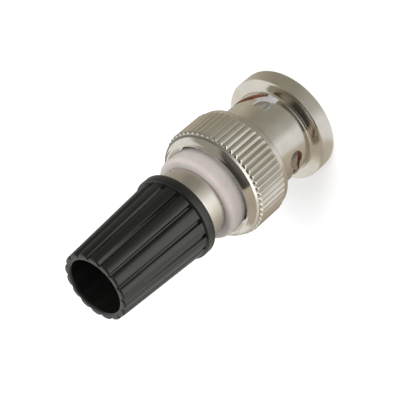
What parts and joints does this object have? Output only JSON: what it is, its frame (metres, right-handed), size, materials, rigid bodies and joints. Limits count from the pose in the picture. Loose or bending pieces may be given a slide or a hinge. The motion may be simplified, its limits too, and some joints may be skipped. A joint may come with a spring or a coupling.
{
  "type": "bayonet coaxial cable plug",
  "caption": "Bayonet coaxial cable plug with knurled coupling nut, insulating collar, ferrule and ribbed screw-on strain relief cap.",
  "frame": {"origin": "centre of the coupling nut's mouth, on the face it stands on", "axes": "+Z along the axis from the mouth to the cable end; the first stud entry lies 53 degrees from +X towards -Y"},
  "size_m": [0.0144, 0.0144, 0.0353],
  "materials": {
    "nickel_plate": "bright nickel plate",
    "satin_nickel": "satin nickel with fine turning lines",
    "silver_plate": "pale matt silver plate",
    "gold_plate": "gold plated brass",
    "spring_steel": "spring steel",
    "gasket_rubber": "orange brown silicone",
    "black_rubber": "black rubber",
    "white_insulator": "white insulating plastic",
    "collar_plastic": "pinkish white translucent plastic",
    "fibre": "fibre washer",
    "black_plastic": "moulded black plastic, slightly glossy"
  },
  "bodies": {
    "root": {"plug_body": "nickel_plate", "contact_sleeve": "silver_plate", "mouth_gasket": "gasket_rubber", "front_insulator": "white_insulator", "centre_pin": "gold_plate", "rear_bead": "white_insulator", "front_thrust_washer": "spring_steel", "wave_spring": "spring_steel", "snap_ring": "spring_steel", "insulating_collar": "collar_plastic", "rear_ferrule": "satin_nickel", "braid_clamp": "nickel_plate", "clamp_gasket": "black_rubber", "clamp_washer": "nickel_plate"},
    "thrust_washer": {"rear_thrust_washer": "spring_steel"},
    "nut": {"coupling_nut": "nickel_plate"},
    "slip_washer": {"cap_slip_washer": "fibre"},
    "cap": {"strain_relief_cap": "black_plastic"}
  },
  "joints": [
    {"name": "nut_draw", "type": "slide", "parent": "root", "child": "thrust_washer", "axis": [0, 0, -1], "range_m": [0, 0.0005], "stiffness_N_per_m": 12000, "springref_m": -0.0004, "deforming": ["wave_spring"]},
    {"name": "nut_turn", "type": "hinge", "parent": "thrust_washer", "child": "nut", "pos_m": [0, 0, 0.012], "axis": [0, 0, 1], "continuous": true},
    {"name": "cap_travel", "type": "slide", "parent": "root", "child": "slip_washer", "axis": [0, 0, 1], "range_m": [0, 0.00413]},
    {"name": "cap_turn", "type": "hinge", "parent": "slip_washer", "child": "cap", "pos_m": [0, 0, 0.028], "axis": [0, 0, 1], "range_deg": [0, 2016]}
  ],
  "couplings": [
    {"joint": "cap_turn", "follows": "cap_travel", "rad_per_m": 8377.6}
  ]
}
